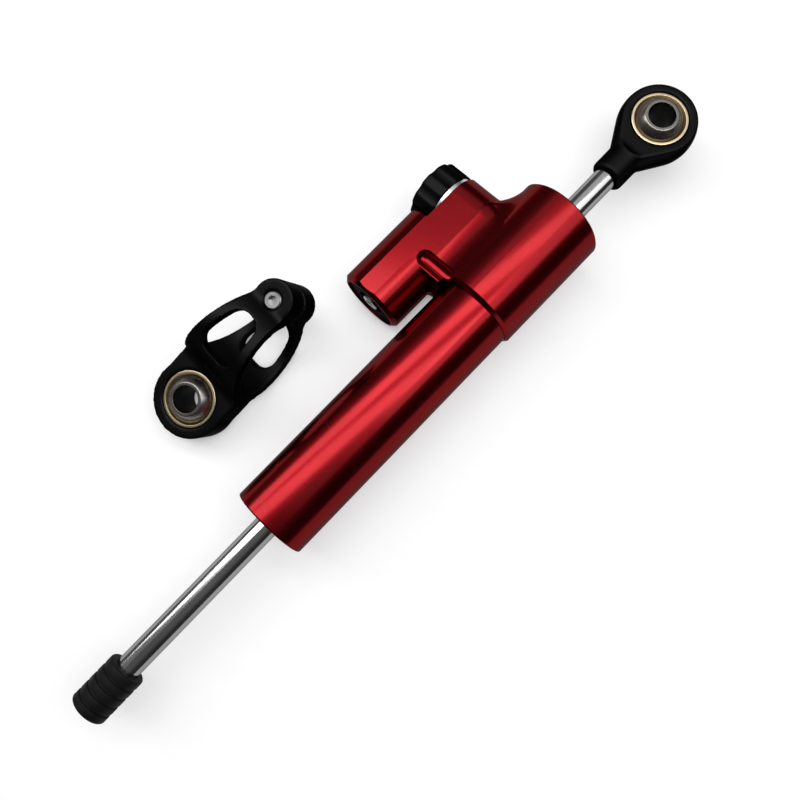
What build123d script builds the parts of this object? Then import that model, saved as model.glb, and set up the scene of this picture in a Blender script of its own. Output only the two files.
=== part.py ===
from build123d import *

import os
from math import asin, atan2, cos, degrees, hypot, pi, radians, sin

# Motorcycle steering damper with a side reservoir, lying on its side, and its loose frame clamp.
# Millimetres. The origin is the centre of the rod-end ball, +X runs along the rod towards the
# eye and +Z is up from the surface that the damper lies on.

# Clearances
running_gap = 0.05
seat_gap = 0.02
face_gap = 0.1
overrun = 1.0

# Joint travels that the pieces leave room for
needle_travel = 1.0

# Spherical bearing, used in the rod end and in the clamp
ball_radius = 7.95
ball_width = 12.0
bolt_hole_radius = 4.1
ball_edge = 0.5
race_radius = 8.5
race_width = 8.2

# Rod end
eye_radius = 12.0
eye_width = 9.0
eye_edge = 0.4
shank_radius = 5.25
shank_edge = 0.8
shank_length = 8.3
neck_reach = 15.0
neck_round = 3.0
rod_socket_depth = 10.0
flat_runout = 3.0
flat_start = 15.5

# Rod, piston and bump stop
rod_radius = 3.6
rod_tip_chamfer = 0.6
lower_rod_length = 54.3
stop_length = 15.0
stop_radius = 5.7
stop_rib_count = 5
stop_rib_height = 0.3
stop_end_wall = 1.5
stop_end_round = 0.8
piston_length = 10.0
piston_clip_width = 1.0
piston_clip_radius = 5.2
clip_groove_depth = 0.5
piston_groove_depth = 1.6
piston_groove_width = 3.0
piston_port_radius = 0.8
piston_port_count = 6
piston_rest_room = 21.0

# Tube and lower guide
tube_radius = 11.7
tube_wall = 1.8
tube_length = 84.4
tube_neck_step = 0.8
tube_neck_length = 9.0
tube_edge = 0.4
guide_seat_step = 0.5
guide_seat_depth = 15.0
guide_inset = 2.6
guide_land = 0.6
seal_radius = 6.0
seal_depth = 3.0
circlip_width = 1.0
circlip_depth = 0.6
circlip_ring_width = 1.8
circlip_opening = 5.0
oring_wire = 1.2

# Head block with its side arm and reservoir
head_radius = 13.8
head_offset = 1.1
head_length = 38.6
eye_to_head = 42.0
head_edge = 0.5
head_low_edge = 0.9
chamber_end_depth = 17.0
bush_radius = 5.5
bush_length = 7.0
bush_bore_gap = 0.15
reservoir_offset = 25.2
reservoir_radius = 10.5
arm_flat_height = 10.1
crease_offset = 17.0
cove_start_angle = 30.0
cove_bite = 0.1
cove_inset = 0.2
cove_root = 8.0
cove_steps = 6
cove_search = radians(80)
cove_halvings = 40
half_turn = 180
cove_radius = 14.1
reservoir_reach = 57.4
arm_groove_radius = 2.6
arm_groove_start = 11.0
arm_groove_end = 19.0
web_reach = 5.9
web_face_drop = 1.4
web_face_inset = 2.5
web_hollow = 0.9
reservoir_edge = 1.2
reservoir_bore = 8.3
reservoir_floor = 2.4
cap_seat_radius = 8.8
cap_seat_depth = 5.8

# Adjuster
knob_radius = 9.8
knob_inset = 18.1
ring_height = 1.6
knob_height = 7.8
knob_room = 1.0
knob_edge = 1.0
knob_lobe_count = 9
knob_scallop_radius = 4.5
knob_scallop_depth = 0.45
knob_dish_radius = 4.2
knob_dish_depth = 0.8
knob_screw_radius = 2.6
knob_screw_length = 1.6
hex_width = 2.5
spot_face_height = 27.6
spot_face_gap = 0.4
ring_radius = 9.2
gland_radius = 4.5
gland_length = 9.0
needle_radius = 2.0
needle_head_radius = 2.6
needle_tip_radius = 0.8
needle_tip_length = 3.0
needle_seat_height = 13.5
valve_port_radius = 1.2
passage_offset = 17.8
passage_radius = 0.7
detent_circle = 7.2
detent_ball_radius = 0.8
detent_depth = 4.6
detent_count = 20
detent_dimple_depth = 0.5

# Reservoir cap, gas screw and floating piston
cap_inset = 0.5
cap_recess_radius = 4.4
cap_recess_depth = 1.2
gas_screw_radius = 2.7
gas_screw_head = 1.6
gas_screw_shank = 1.5
floating_piston_length = 8.0
floating_piston_rest = 7.0
floating_groove_width = 2.4
floating_groove_depth = 1.4

# Frame clamp
clamp_bore_gap = 0.1
clamp_wall = 3.4
clamp_width = 17.2
clamp_taper_share = 0.19
clamp_eye_offset = 24.8
clamp_eye_radius = 11.8
clamp_window_width = 11.2
clamp_window_low = 8.4
clamp_window_high = 7.4
clamp_window_corner = 3.8
clamp_lug_offset = 15.0
clamp_lug_radius = 6.2
clamp_lug_half_height = 8.8
clamp_slot = 1.4
clamp_cove = 2.5
clamp_bolt_radius = 1.5
clamp_bolt_head_radius = 2.6
clamp_bolt_head_height = 3.0
clamp_x = -131.8
clamp_y = 41.4
clamp_turn = 176.4

# Stations along the axis, worked out from the sizes
tube_bore = tube_radius - tube_wall
tube_neck_radius = tube_radius - tube_neck_step
guide_seat_radius = tube_bore + guide_seat_step
knob_bottom = spot_face_height + ring_height
knob_top = knob_bottom + knob_height
head_top_x = -eye_to_head
head_low_x = head_top_x - head_length
tube_low_x = head_low_x - tube_length
stop_top_x = tube_low_x - lower_rod_length
stop_low_x = stop_top_x - stop_length
chamber_top_x = head_top_x - chamber_end_depth
tube_top_x = head_low_x + tube_neck_length
guide_low_x = tube_low_x + guide_inset
guide_top_x = tube_low_x + guide_seat_depth
piston_low_x = guide_top_x + piston_rest_room
piston_top_x = piston_low_x + piston_length
knob_x = head_top_x - knob_inset
reservoir_low_x = head_top_x - reservoir_reach
reservoir_bore_x = knob_x - knob_radius - knob_room - reservoir_floor
cap_low_x = reservoir_low_x + cap_inset
cap_top_x = reservoir_low_x + cap_seat_depth
float_low_x = cap_top_x + floating_piston_rest
bush_low_x = chamber_top_x
seal_low_x = bush_low_x + bush_length
wiper_low_x = head_top_x - seal_depth - face_gap

# The damper leans until the head and the knob's rim both touch the surface
knob_reach = knob_top - head_offset
lean = degrees(asin(head_radius / hypot(knob_reach, knob_radius)) - atan2(knob_radius, knob_reach))
floor_z = -head_radius - head_offset * sin(radians(lean))
side = Vector(0, cos(radians(lean)), -sin(radians(lean)))
front = Vector(0, sin(radians(lean)), cos(radians(lean)))
along = Vector(1, 0, 0)

cross = Plane(origin=(0, 0, 0), x_dir=side, z_dir=along)
reservoir_plane = Plane(origin=side * reservoir_offset, x_dir=along, z_dir=side * -1)
reservoir_axis = Axis(side * reservoir_offset, along)
knob_origin = along * knob_x
knob_axis = Axis(knob_origin, side)
knob_plane = Plane(origin=knob_origin, x_dir=along, z_dir=side)
knob_section = Plane(origin=knob_origin, x_dir=side, z_dir=front * -1)

# The clamp leans until its ring and the tip of its eye both touch the surface
clamp_bore = tube_radius + clamp_bore_gap
clamp_outer = clamp_bore + clamp_wall
clamp_tip = clamp_eye_offset + clamp_eye_radius
clamp_lean = degrees(
    asin(clamp_outer / hypot(clamp_tip, eye_width / 2)) - atan2(eye_width / 2, clamp_tip)
)
clamp_origin = Vector(clamp_x, clamp_y, floor_z + clamp_outer)
heading = Vector(cos(radians(clamp_turn)), sin(radians(clamp_turn)), 0)
up = Vector(0, 0, 1)
clamp_out = heading * cos(radians(clamp_lean)) - up * sin(radians(clamp_lean))
clamp_up = heading * sin(radians(clamp_lean)) + up * cos(radians(clamp_lean))
clamp_plan = Plane(origin=clamp_origin, x_dir=clamp_out, z_dir=clamp_up)
clamp_across = clamp_plan.y_dir
clamp_section = Plane(origin=clamp_origin, x_dir=clamp_out, z_dir=clamp_across * -1)
clamp_eye_plane = Plane(
    origin=clamp_origin + clamp_out * clamp_eye_offset, x_dir=clamp_out, z_dir=clamp_up
)
clamp_lug_plane = Plane(
    origin=clamp_origin - clamp_out * clamp_lug_offset, x_dir=clamp_out, z_dir=clamp_up
)


def spin(plane, axis, outline, mode=Mode.ADD):
    """Turn a half outline of straight lines about an axis."""
    with BuildSketch(plane) as half:
        with BuildLine():
            Polyline(*outline, close=True)
        make_face()
    revolve(half.sketch, axis=axis, mode=mode)


def spin_x(outline, mode=Mode.ADD):
    """Turn (x, radius) points about the rod's axis."""
    spin(Plane.XZ, Axis.X, outline, mode)


def ring_outline(low, high, inner, outer):
    """Half outline of a plain ring between two stations."""
    return [(low, inner), (high, inner), (high, outer), (low, outer)]


def chamfered_ring(low, high, inner, outer, edge):
    """Half outline of a ring with both outer edges chamfered."""
    return [(low, inner), (high, inner), (high, outer - edge), (high - edge, outer),
            (low + edge, outer), (low, outer - edge)]


def bearing_section(frame):
    """Plane through a bearing's bore axis, with the radius along x and the axis along y."""
    return Plane(origin=frame.origin, x_dir=frame.x_dir, z_dir=frame.y_dir * -1)


def bearing_seat(frame):
    """Cut the bore that a race is pressed into, with both mouths chamfered."""
    half = eye_width / 2
    bore = race_radius + seat_gap
    mouth = bore + eye_edge
    spin(bearing_section(frame), Axis(frame.origin, frame.z_dir),
         [(0, -half - overrun), (mouth, -half - overrun), (mouth, -half), (bore, -half + eye_edge),
          (bore, half - eye_edge), (mouth, half), (mouth, half + overrun), (0, half + overrun)],
         Mode.SUBTRACT)


def bearing_race(frame):
    """Race with a spherical seat, turned about the frame's z axis."""
    seat = ball_radius + running_gap
    half = race_width / 2
    edge = (seat**2 - half**2) ** 0.5
    with BuildSketch(bearing_section(frame)) as outline:
        with BuildLine():
            Polyline((edge, half), (race_radius, half), (race_radius, -half), (edge, -half))
            ThreePointArc((edge, -half), (seat, 0), (edge, half))
        make_face()
    revolve(outline.sketch, axis=Axis(frame.origin, frame.z_dir))


def bearing_ball(frame):
    """Ball with two flats and a chamfered bolt hole, turned about the frame's z axis."""
    half = ball_width / 2
    flat = (ball_radius**2 - half**2) ** 0.5
    mouth = bolt_hole_radius + ball_edge
    with BuildSketch(bearing_section(frame)) as outline:
        with BuildLine():
            Polyline((flat, -half), (mouth, -half), (bolt_hole_radius, -half + ball_edge),
                     (bolt_hole_radius, half - ball_edge), (mouth, half), (flat, half))
            ThreePointArc((flat, half), (ball_radius, 0), (flat, -half))
        make_face()
    revolve(outline.sketch, axis=Axis(frame.origin, frame.z_dir))


# Tube, with a neck that screws into the head and a seat for the lower guide
with BuildPart() as main_tube:
    spin_x(chamfered_ring(tube_low_x, head_low_x, tube_bore, tube_radius, tube_edge))
    spin_x(ring_outline(head_low_x - overrun, tube_top_x, tube_bore, tube_neck_radius))
    spin_x(ring_outline(tube_low_x - overrun, guide_top_x, 0, guide_seat_radius), Mode.SUBTRACT)
    circlip_x = guide_low_x - circlip_width - face_gap
    spin_x(ring_outline(circlip_x, guide_low_x, 0, guide_seat_radius + circlip_depth), Mode.SUBTRACT)
main_tube.part.label = "main_tube"

# Lower guide: holds the wiper outside and the seal inside, with an O-ring round it
guide_groove_low = (guide_low_x + guide_top_x - oring_wire) / 2
guide_groove_high = guide_groove_low + oring_wire
guide_radius = guide_seat_radius - seat_gap
with BuildPart() as lower_guide:
    spin_x(chamfered_ring(guide_low_x, guide_top_x, rod_radius + running_gap, guide_radius, guide_land / 2))
    spin_x(ring_outline(guide_low_x - overrun, guide_low_x + seal_depth, 0, seal_radius), Mode.SUBTRACT)
    spin_x(ring_outline(guide_top_x - seal_depth, guide_top_x + overrun, 0, seal_radius), Mode.SUBTRACT)
    spin_x(
        ring_outline(guide_groove_low, guide_groove_high, guide_radius - oring_wire, guide_radius + overrun),
        Mode.SUBTRACT,
    )
lower_guide.part.label = "lower_guide"

with BuildPart() as lower_guide_oring:
    spin_x(chamfered_ring(guide_groove_low + seat_gap, guide_groove_high - seat_gap,
                          guide_radius - oring_wire + seat_gap, guide_seat_radius - seat_gap, oring_wire / 4))
lower_guide_oring.part.label = "lower_guide_oring"

seal_bore = rod_radius + running_gap
seal_outer = seal_radius - seat_gap
with BuildPart() as lower_wiper:
    spin_x([(guide_low_x, seal_bore), (guide_low_x + seal_depth - face_gap, seal_bore),
            (guide_low_x + seal_depth - face_gap, seal_outer), (guide_low_x + face_gap, seal_outer),
            (guide_low_x + face_gap, rod_radius + oring_wire)])
lower_wiper.part.label = "lower_wiper"

with BuildPart() as lower_seal:
    spin_x(ring_outline(guide_top_x - seal_depth + face_gap, guide_top_x - face_gap, seal_bore, seal_outer))
lower_seal.part.label = "lower_seal"

# Circlip that keeps the lower guide in, open over a short arc
clip_outer = guide_seat_radius + circlip_depth - seat_gap
clip_inner = guide_seat_radius - circlip_ring_width
with BuildPart() as lower_circlip:
    spin_x(ring_outline(circlip_x + seat_gap, guide_low_x - seat_gap, clip_inner, clip_outer))
    with BuildSketch(cross.offset(circlip_x - overrun)):
        with Locations((0, clip_outer)):
            Rectangle(circlip_opening, clip_outer)
    extrude(amount=circlip_width + 2 * overrun, mode=Mode.SUBTRACT)
lower_circlip.part.label = "lower_circlip"

# Rod with a groove each side of the piston, threaded ends drawn plain
rod_low_x = stop_low_x + stop_end_wall
rod_top_x = -neck_reach - shank_length + rod_socket_depth
clip_rooms = [piston_low_x - piston_clip_width - face_gap, piston_top_x + face_gap]
with BuildPart() as piston_rod:
    spin_x([(rod_low_x, 0), (rod_low_x, rod_radius - rod_tip_chamfer), (rod_low_x + rod_tip_chamfer, rod_radius),
            (rod_top_x - rod_tip_chamfer, rod_radius), (rod_top_x, rod_radius - rod_tip_chamfer), (rod_top_x, 0)])
    for low in clip_rooms:
        spin_x(
            ring_outline(low, low + piston_clip_width, rod_radius - clip_groove_depth, tube_radius),
            Mode.SUBTRACT,
        )
piston_rod.part.label = "piston_rod"

with BuildPart() as piston_clips:
    for low in clip_rooms:
        spin_x(ring_outline(low + seat_gap, low + piston_clip_width - seat_gap,
                            rod_radius - clip_groove_depth + seat_gap, piston_clip_radius))
piston_clips.part.label = "piston_clips"

# Piston with oil ports, and its split ring
piston_radius = tube_bore - face_gap
piston_port_circle = (piston_clip_radius + piston_radius - piston_groove_depth) / 2
groove_low = (piston_low_x + piston_top_x - piston_groove_width) / 2
groove_high = groove_low + piston_groove_width
with BuildPart() as piston:
    spin_x(chamfered_ring(piston_low_x, piston_top_x, rod_radius + running_gap, piston_radius, guide_land))
    spin_x(
        ring_outline(groove_low, groove_high, piston_radius - piston_groove_depth, tube_radius),
        Mode.SUBTRACT,
    )
    with BuildSketch(cross.offset(piston_low_x - overrun)):
        with PolarLocations(piston_port_circle, piston_port_count):
            Circle(piston_port_radius)
    extrude(amount=piston_length + 2 * overrun, mode=Mode.SUBTRACT)
piston.part.label = "piston"

with BuildPart() as piston_ring:
    spin_x(ring_outline(groove_low + running_gap, groove_high - running_gap,
                        piston_radius - piston_groove_depth + running_gap, tube_bore - running_gap))
piston_ring.part.label = "piston_ring"

# Ribbed rubber stop, pushed over the rod's lower end
rib_length = (stop_length - stop_end_round) / stop_rib_count
groove_radius = stop_radius - stop_rib_height
with BuildPart() as bump_stop:
    with BuildSketch(Plane.XZ):
        with BuildLine():
            Polyline((stop_low_x + stop_end_round, groove_radius), (stop_low_x + stop_end_round, 0),
                     (stop_top_x, 0), (stop_top_x, groove_radius))
            for rib in range(stop_rib_count):
                rib_x = stop_top_x - rib * rib_length
                ThreePointArc((rib_x, groove_radius), (rib_x - rib_length / 2, stop_radius),
                              (rib_x - rib_length, groove_radius))
        make_face()
    revolve(axis=Axis.X)
    with BuildSketch(Plane.XZ):
        with BuildLine():
            Polyline((stop_low_x + stop_end_round, groove_radius), (stop_low_x + stop_end_round, 0),
                     (stop_low_x, 0), (stop_low_x, groove_radius - stop_end_round))
            RadiusArc((stop_low_x, groove_radius - stop_end_round),
                      (stop_low_x + stop_end_round, groove_radius), stop_end_round)
        make_face()
    revolve(axis=Axis.X)
    spin_x(ring_outline(rod_low_x, stop_top_x + overrun, 0, rod_radius + seat_gap), Mode.SUBTRACT)
bump_stop.part.label = "bump_stop"

# Rod end: a turned body with a shank, then both bearing faces are milled flat
shank_end_x = -neck_reach - shank_length
neck_distance = hypot(neck_reach, shank_radius)
neck_angle = asin(eye_radius / neck_distance) - atan2(shank_radius, neck_reach)
tangent_point = (-eye_radius * sin(neck_angle), eye_radius * cos(neck_angle))
with BuildPart() as rod_end_housing:
    with BuildSketch(Plane.XZ) as eye_outline:
        with BuildLine():
            Polyline((eye_radius, 0), (shank_end_x, 0), (shank_end_x, shank_radius - shank_edge),
                     (shank_end_x + shank_edge, shank_radius), (-neck_reach, shank_radius), tangent_point)
            ThreePointArc(tangent_point, (0, eye_radius), (eye_radius, 0))
        make_face()
        neck_corner = eye_outline.vertices().filter_by_position(Axis.X, -neck_reach - seat_gap, -neck_reach + seat_gap)
        fillet(neck_corner, neck_round)
    revolve(axis=Axis.X)
    with BuildSketch(Plane.XZ):
        with BuildLine():
            Polyline((eye_radius + overrun, eye_width / 2), (eye_radius + overrun, eye_radius + overrun),
                     (-flat_start, eye_radius + overrun), (-flat_start, eye_width / 2 + flat_runout))
            RadiusArc((-flat_start, eye_width / 2 + flat_runout),
                      (-flat_start + flat_runout, eye_width / 2), -flat_runout)
            Line((-flat_start + flat_runout, eye_width / 2), (eye_radius + overrun, eye_width / 2))
        make_face()
        mirror(about=Plane.XZ)
    extrude(amount=eye_radius + overrun, both=True, mode=Mode.SUBTRACT)
    bearing_seat(Plane.XY)
    spin_x(ring_outline(shank_end_x - overrun, rod_top_x + face_gap, 0, rod_radius + seat_gap), Mode.SUBTRACT)
rod_end_housing.part.label = "rod_end_housing"

with BuildPart() as rod_end_race:
    bearing_race(Plane.XY)
rod_end_race.part.label = "rod_end_race"

with BuildPart() as rod_end_ball:
    bearing_ball(Plane.XY)
rod_end_ball.part.label = "rod_end_ball"

# Head, arm and reservoir, milled from one block. The arm ends in a round boss under the knob.
cove_start = radians(cove_start_angle)
cove_low = (head_offset + head_radius * sin(cove_start), head_radius * cos(cove_start))
cove_centre = (head_offset + (head_radius + cove_radius) * sin(cove_start),
               (head_radius + cove_radius) * cos(cove_start))
cove_end_angle = asin((crease_offset - cove_centre[0]) / cove_radius)
crease = (crease_offset, cove_centre[1] - cove_radius * cos(cove_end_angle))
cove_middle_angle = (cove_end_angle - cove_start) / 2
cove_middle = (cove_centre[0] + cove_radius * sin(cove_middle_angle),
               cove_centre[1] - cove_radius * cos(cove_middle_angle))
slit = reservoir_offset - reservoir_radius - tube_radius
slit_middle = tube_radius + slit / 2
valve_floor = needle_seat_height
web_low_x = head_low_x - web_reach
web_face_height = arm_flat_height - web_face_drop
web_face_end = (head_low_x - web_face_inset, web_face_height)
web_middle = ((web_face_end[0] + web_low_x) / 2 + web_hollow, web_face_height / 2 - web_hollow / 2)
head_axis = Axis(side * head_offset, along)
head_section = Plane(origin=side * head_offset, x_dir=along, z_dir=side * -1)


def arm_section(plane):
    """Half section of the arm, from the middle of the head out to the knob's seat."""
    with BuildSketch(plane) as section:
        with BuildLine():
            ThreePointArc(cove_low, cove_middle, crease)
            Polyline(crease, (crease_offset + overrun, arm_flat_height), (spot_face_height, arm_flat_height),
                     (spot_face_height, 0), (head_offset, 0), cove_low)
        make_face()
    return section.sketch


def cove_wall(angle):
    """Section of the cove round the boss, at an angle about the knob's axis from the rod's direction. The cutter's
    ball touches the head and passes through the crease."""
    low, high = -cove_search, cove_search
    for _ in range(cove_halvings):
        tilt = (low + high) / 2
        reach = crease[1] - cove_inset + cove_radius * cos(tilt)
        rise = crease_offset + cove_radius * sin(tilt) - head_offset
        if hypot(rise, reach * sin(angle)) > head_radius - cove_bite + cove_radius:
            high = tilt
        else:
            low = tilt

    def spot(radius, offset):
        return knob_origin + along * radius * cos(angle) + front * radius * sin(angle) + side * offset

    centre = spot(reach, rise + head_offset)
    top = spot(crease[1] - cove_inset, crease_offset)
    inward = side * rise + front * reach * sin(angle)
    foot = centre - inward.normalized() * cove_radius
    towards = ((top - centre).normalized() + (foot - centre).normalized()).normalized()
    middle = centre + towards * cove_radius
    heart = centre + towards * (cove_radius + cove_root)
    return Face(Wire([ThreePointArc(top, middle, foot), Line(foot, heart), Line(heart, top)]))


cove_walls = [cove_wall(radians(half_turn * step / cove_steps - half_turn / 2)) for step in range(cove_steps + 1)]

with BuildPart() as head_block:
    spin(head_section, head_axis,
         [(head_low_x, 0), (head_low_x, head_radius - head_low_edge), (head_low_x + head_low_edge, head_radius),
          (head_top_x - head_edge, head_radius), (head_top_x, head_radius - head_edge), (head_top_x, 0)])
    half_arm = arm_section(cross.offset(head_low_x))
    extrude(half_arm, amount=knob_x - head_low_x)
    extrude(mirror(half_arm, about=Plane(origin=(0, 0, 0), x_dir=along, z_dir=front), mode=Mode.PRIVATE),
            amount=knob_x - head_low_x)
    revolve(arm_section(knob_section), axis=knob_axis)
    loft(cove_walls)
    spin(reservoir_plane, reservoir_axis,
         [(reservoir_low_x, 0), (reservoir_low_x, reservoir_radius - reservoir_edge),
          (reservoir_low_x + reservoir_edge, reservoir_radius), (knob_x, reservoir_radius), (knob_x, 0)])
    # Flats on both faces of the reservoir
    with BuildSketch(cross.offset(reservoir_low_x - overrun)):
        with Locations((crease_offset, arm_flat_height)):
            Rectangle(2 * reservoir_radius, overrun, align=(Align.MIN, Align.MIN))
        mirror(about=Plane.XZ)
    extrude(amount=reservoir_reach, mode=Mode.SUBTRACT)
    # Web between the tube and the reservoir, hollowed from both faces
    with BuildSketch(Plane(origin=(0, 0, 0), x_dir=along, z_dir=side * -1).offset(-tube_radius)):
        with BuildLine():
            Polyline((web_low_x, 0), (head_low_x, 0), (head_low_x, web_face_height), web_face_end)
            ThreePointArc(web_face_end, web_middle, (web_low_x, 0))
        make_face()
        mirror(about=Plane.XZ)
    extrude(amount=tube_radius - reservoir_offset)
    spin_x(ring_outline(web_low_x - overrun, head_low_x, 0, tube_radius + face_gap), Mode.SUBTRACT)
    # Rounded end of the slit between the tube and the reservoir
    with BuildSketch(Plane(origin=along * web_low_x, x_dir=along, z_dir=front)):
        with Locations((0, slit_middle)):
            Circle(slit / 2)
    extrude(amount=head_radius + overrun, both=True, mode=Mode.SUBTRACT)
    # Groove under each face of the arm's low end, left by a round cutter
    for height in (arm_flat_height, -arm_flat_height):
        groove_low = along * head_low_x + front * height + side * arm_groove_start
        groove_high = along * head_low_x + front * height + side * arm_groove_end
        with BuildSketch(Plane(origin=groove_low, x_dir=along, z_dir=side)):
            Circle(arm_groove_radius)
        extrude(amount=arm_groove_end - arm_groove_start, mode=Mode.SUBTRACT)
        with Locations(Location(groove_low), Location(groove_high)):
            Sphere(arm_groove_radius, mode=Mode.SUBTRACT)
    # Main bore: thread for the tube, oil chamber, bush, seal and wiper seats
    spin_x(
        ring_outline(head_low_x - overrun, tube_top_x + face_gap, 0, tube_neck_radius + seat_gap),
        Mode.SUBTRACT,
    )
    spin_x(ring_outline(tube_top_x, chamber_top_x, 0, tube_bore), Mode.SUBTRACT)
    spin_x(ring_outline(bush_low_x - overrun, seal_low_x, 0, bush_radius), Mode.SUBTRACT)
    spin_x(ring_outline(seal_low_x - overrun, seal_low_x + seal_depth, 0, bush_radius), Mode.SUBTRACT)
    spin_x(ring_outline(seal_low_x, head_top_x + overrun, 0, rod_radius + bush_bore_gap), Mode.SUBTRACT)
    spin_x(ring_outline(wiper_low_x, head_top_x + overrun, 0, seal_radius), Mode.SUBTRACT)
    # Reservoir bore and cap seat
    spin(reservoir_plane, reservoir_axis,
         ring_outline(reservoir_low_x - overrun, reservoir_bore_x, 0, reservoir_bore), Mode.SUBTRACT)
    spin(reservoir_plane, reservoir_axis,
         ring_outline(reservoir_low_x - overrun, cap_top_x, 0, cap_seat_radius), Mode.SUBTRACT)
    # Oil passage from the valve to the reservoir
    with BuildSketch(cross.offset(reservoir_bore_x - overrun)):
        with Locations((passage_offset, 0)):
            Circle(passage_radius)
    extrude(amount=knob_x - reservoir_bore_x + overrun, mode=Mode.SUBTRACT)
    # Spot face under the knob, gland bore, valve port and detent pocket
    with BuildSketch(knob_plane.offset(spot_face_height)):
        Rectangle(2 * (knob_radius + knob_room), 2 * reservoir_radius + overrun)
    extrude(amount=knob_top - spot_face_height, mode=Mode.SUBTRACT)
    spin(knob_section, knob_axis,
         ring_outline(spot_face_height - gland_length, knob_top, 0, gland_radius + seat_gap), Mode.SUBTRACT)
    spin(knob_section, knob_axis,
         ring_outline(valve_floor, knob_top, 0, needle_head_radius + face_gap), Mode.SUBTRACT)
    spin(knob_section, knob_axis, ring_outline(0, knob_top, 0, valve_port_radius), Mode.SUBTRACT)
    with BuildSketch(knob_plane.offset(spot_face_height - detent_depth)):
        with Locations((-detent_circle, 0)):
            Circle(detent_ball_radius + running_gap)
    extrude(amount=detent_depth + overrun, mode=Mode.SUBTRACT)
head_block.part.label = "head_block"

# Bush, seal and wiper where the rod leaves the head
with BuildPart() as head_bush:
    spin_x(ring_outline(bush_low_x + face_gap, seal_low_x, seal_bore, bush_radius - seat_gap))
head_bush.part.label = "head_bush"

with BuildPart() as head_seal:
    spin_x(ring_outline(seal_low_x + face_gap, seal_low_x + seal_depth - face_gap, seal_bore, bush_radius - seat_gap))
head_seal.part.label = "head_seal"

with BuildPart() as head_wiper:
    spin_x([(wiper_low_x + face_gap, seal_bore), (head_top_x + face_gap, seal_bore),
            (head_top_x - face_gap, rod_radius + oring_wire), (head_top_x - face_gap, seal_outer),
            (wiper_low_x + face_gap, seal_outer)])
head_wiper.part.label = "head_wiper"

# Silver indicator ring between the spot face and the knob
with BuildPart() as indicator_ring:
    spin(knob_section, knob_axis,
         ring_outline(spot_face_height, knob_bottom - face_gap, gland_radius + spot_face_gap, ring_radius))
    with BuildSketch(knob_plane.offset(spot_face_height - overrun)):
        with Locations((-detent_circle, 0)):
            Circle(detent_ball_radius + running_gap)
    extrude(amount=knob_bottom - spot_face_height + 2 * overrun, mode=Mode.SUBTRACT)
indicator_ring.part.label = "indicator_ring"

with BuildPart() as valve_gland:
    spin(knob_section, knob_axis,
         ring_outline(spot_face_height - gland_length + face_gap, knob_bottom - face_gap,
                      needle_radius + running_gap, gland_radius))
    gland_room = spot_face_height - gland_length + needle_tip_length + needle_travel
    spin(knob_section, knob_axis, ring_outline(0, gland_room, 0, needle_head_radius + face_gap), Mode.SUBTRACT)
valve_gland.part.label = "valve_gland"

# Needle with an O-ring behind its head, which the knob screws in and out
needle_shoulder = valve_floor + needle_tip_length
needle_head_top = gland_room - needle_travel - face_gap
needle_groove_low = (needle_shoulder + needle_head_top - oring_wire) / 2
needle_top = knob_top - knob_dish_depth - knob_screw_length - needle_travel - face_gap
with BuildPart() as needle_valve:
    spin(knob_section, knob_axis,
         [(valve_floor - needle_tip_length / 2, 0), (valve_floor - needle_tip_length / 2, needle_tip_radius / 2),
          (needle_shoulder, needle_tip_radius + needle_tip_radius / 2), (needle_shoulder, needle_head_radius),
          (needle_head_top, needle_head_radius), (needle_head_top, needle_radius),
          (needle_top, needle_radius), (needle_top, 0)])
    spin(knob_section, knob_axis,
         ring_outline(needle_groove_low, needle_groove_low + oring_wire,
                      needle_head_radius - oring_wire / 2, gland_radius), Mode.SUBTRACT)
needle_valve.part.label = "needle_valve"

with BuildPart() as needle_oring:
    spin(knob_section, knob_axis,
         ring_outline(needle_groove_low + seat_gap, needle_groove_low + oring_wire - seat_gap,
                      needle_head_radius - oring_wire / 2 + seat_gap, needle_head_radius + running_gap))
needle_oring.part.label = "needle_oring"

# Click detent: a ball on a spring, in a pocket under the knob
detent_floor = spot_face_height - detent_depth
ball_centre_height = knob_bottom - running_gap - detent_ball_radius
detent_origin = knob_origin + side * ball_centre_height - along * detent_circle
with BuildPart() as detent_ball:
    with Locations(Location(detent_origin)):
        Sphere(detent_ball_radius)
detent_ball.part.label = "detent_ball"

with BuildPart() as detent_spring:
    with BuildSketch(knob_plane.offset(detent_floor)):
        with Locations((-detent_circle, 0)):
            Circle(detent_ball_radius)
            Circle(detent_ball_radius / 2, mode=Mode.SUBTRACT)
    extrude(amount=ball_centre_height - detent_ball_radius - detent_floor)
detent_spring.part.label = "detent_spring"

# Knob with scallops for the fingers, a dished top and a ring of click dimples below
scallop_circle = knob_radius + knob_scallop_radius - knob_scallop_depth
with BuildPart() as adjuster_knob:
    with BuildSketch(knob_plane.offset(knob_bottom)):
        Circle(knob_radius)
        with PolarLocations(scallop_circle, knob_lobe_count):
            Circle(knob_scallop_radius, mode=Mode.SUBTRACT)
    extrude(amount=knob_top - knob_bottom)
    knob_face = adjuster_knob.faces().sort_by(knob_axis)[-1]
    fillet(knob_face.outer_wire().edges(), knob_edge)
    spin(knob_section, knob_axis,
         ring_outline(knob_top - knob_dish_depth, knob_top + overrun, 0, knob_dish_radius), Mode.SUBTRACT)
    spin(knob_section, knob_axis,
         ring_outline(knob_bottom - overrun, knob_top, 0, needle_radius + running_gap), Mode.SUBTRACT)
    spin(knob_section, knob_axis,
         ring_outline(knob_top - knob_dish_depth - knob_screw_length, knob_top, 0, knob_screw_radius),
         Mode.SUBTRACT)
    with BuildSketch(knob_plane.offset(knob_bottom)):
        with PolarLocations(detent_circle, detent_count):
            Circle(detent_ball_radius - detent_dimple_depth / 2)
    extrude(amount=detent_dimple_depth, mode=Mode.SUBTRACT)
adjuster_knob.part.label = "adjuster_knob"

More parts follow.
